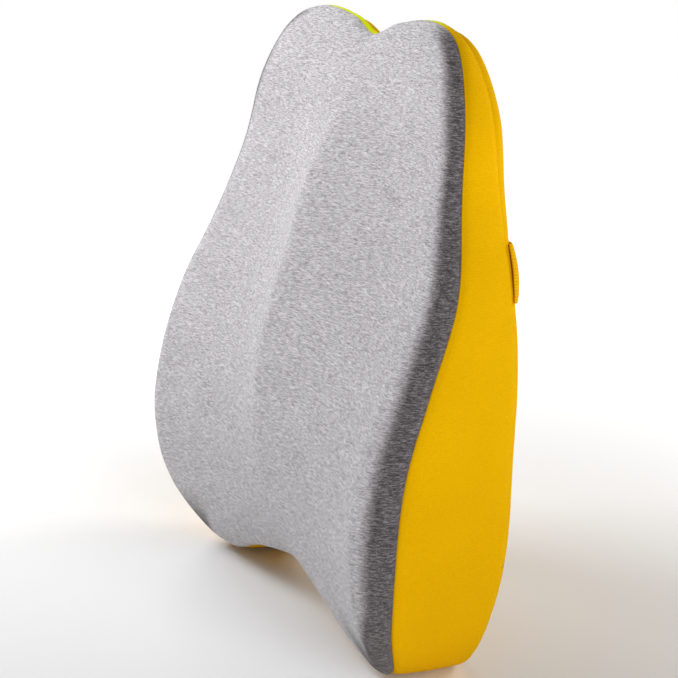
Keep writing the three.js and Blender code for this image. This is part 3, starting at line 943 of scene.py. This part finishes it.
def build_zip_teeth(word, side):
    """Nylon coil seen from outside: a row of rounded loops that reach the middle line."""
    low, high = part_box(f"zip_teeth_{word}")
    middle = ZIP_Z * MM
    verts, faces = [], []
    count = int((high.x - low.x) / MM / TOOTH_PITCH)
    for n in range(count):
        x = low.x + (n + 0.5 + 0.25 * side) * TOOTH_PITCH * MM
        for z0, z1, y0, y1, half in COIL_BLOCKS:
            base = len(verts)
            z = sorted((middle + side * z0 * MM, middle + side * z1 * MM))
            verts += box_verts((x - half * MM, x + half * MM),
                               (BACK_Y + y0 * MM, BACK_Y + y1 * MM), z)
            faces += [tuple(base + v for v in face) for face in BOX_FACES]
    teeth = mesh_object(f"coil_{word}", verts, faces)
    fix_normals(teeth)
    bevel = teeth.modifiers.new("round", "BEVEL")
    bevel.width = 0.22 * MM
    bevel.segments = 2
    apply_modifiers(teeth)
    for polygon in teeth.data.polygons:
        polygon.use_smooth = True
    finish_piece(teeth, "cushion", "zip_coil", stands_for=[f"zip_teeth_{word}"])


def build_zip_stitches():
    """Topstitching along both sides of the zip."""
    stitches = []
    for side in (1, -1):
        z = ZIP_Z + side * ZIP_STITCH_ROW
        path = [(-ZIP_HALF - 4, 0, z), (ZIP_HALF + 4, 0, z)]
        stitches += [(a, b, (0, 1, 0)) for a, b in dashes(path, 2.6, 0.9)]
    finish_piece(stitch_mesh("zip_stitches", stitches, 0.25), "cushion", "yellow_fabric", "thread")


# ---- stage ---------------------------------------------------------------------------------
def build_floor():
    """White ground that glows away from the cushion, so that it meets a white background."""
    size = 40.0
    verts = [(-size, -size, 0), (size, -size, 0), (size, size, 0), (-size, size, 0)]
    floor = mesh_object("floor", verts, [(0, 1, 2, 3)])
    m = Nodes("floor", 0.9, Specular_IOR_Level=0.1, Base_Color=(0.93, 0.93, 0.93, 1),
              Emission_Color=(1, 1, 1, 1))
    reach = m.node("ShaderNodeVectorMath", {0: m.coords}, operation="LENGTH").outputs["Value"]
    glow = m.node("ShaderNodeMapRange", {
        "Value": reach, "From Min": 0.25, "From Max": 1.3, "To Min": 0.0, "To Max": 0.8},
        interpolation_type="SMOOTHSTEP").outputs["Result"]
    m.put(m.shader.inputs["Emission Strength"], glow)
    floor.data.materials.append(m.material)


def place_light(light, direction):
    """Puts a light in the scene, shining from `direction`."""
    obj = bpy.data.objects.new(light.name, light)
    obj.rotation_euler = direction.to_track_quat("Z", "Y").to_euler()
    bpy.context.scene.collection.objects.link(obj)
    return obj


def soft_sun(name, direction, strength, spread):
    """A large far light; direction points from the object to the light."""
    light = bpy.data.lights.new(name, "SUN")
    light.energy = strength
    light.angle = math.radians(spread)
    place_light(light, Vector(direction))


def softbox(name, location, watts):
    """A half-metre panel of light near the cushion, aimed at its middle."""
    light = bpy.data.lights.new(name, "AREA")
    light.energy = watts
    light.size = 0.5
    aim = Vector(location) - Vector((0, 0, 0.3))
    place_light(light, aim).location = location


def build_lights():
    softbox("key", (-0.6, -0.6, 0.95), 8.6)
    softbox("left", (-0.9, 0.0, 0.75), 3.4)
    softbox("right", (0.95, 0.0, 0.7), 1.1)
    softbox("rear", (0.2, 1.2, 0.8), 6.0)
    soft_sun("side", (1.0, 0.0, 0.25), 1.5, 40)
    world = bpy.data.worlds.new("studio")
    world.use_nodes = True
    world.node_tree.nodes["Background"].inputs["Color"].default_value = (1, 1, 1, 1)
    world.node_tree.nodes["Background"].inputs["Strength"].default_value = 0.1
    bpy.context.scene.world = world
    bpy.context.scene.view_settings.view_transform = "Standard"


def build_camera():
    azimuth, elevation, roll = (math.radians(v) for v in (60.1, 15.9, 2.0))
    target = Vector((0.0632, BACK_Y - 0.0772, 0.2438))
    distance = 1.134
    back = Vector((math.sin(azimuth) * math.cos(elevation),
                   -math.cos(azimuth) * math.cos(elevation), math.sin(elevation)))
    right = Vector((math.cos(azimuth), math.sin(azimuth), 0))
    up = back.cross(right)
    x = right * math.cos(roll) + up * math.sin(roll)
    y = up * math.cos(roll) - right * math.sin(roll)
    camera = bpy.data.cameras.new("camera")
    camera.sensor_width = 36
    camera.lens = 82.2
    obj = bpy.data.objects.new("camera", camera)
    rotation = Matrix((x, y, back)).transposed().to_4x4()
    obj.matrix_world = Matrix.Translation(target + back * distance) @ rotation
    bpy.context.scene.collection.objects.link(obj)
    bpy.context.scene.camera = obj


build_camera()
cover, cover_normal = build_cover()
build_foam(cover, cover_normal)
build_strap(1)
build_strap(-1)
build_buckle()
build_zip()
build_zip_stitches()
build_floor()
build_lights()
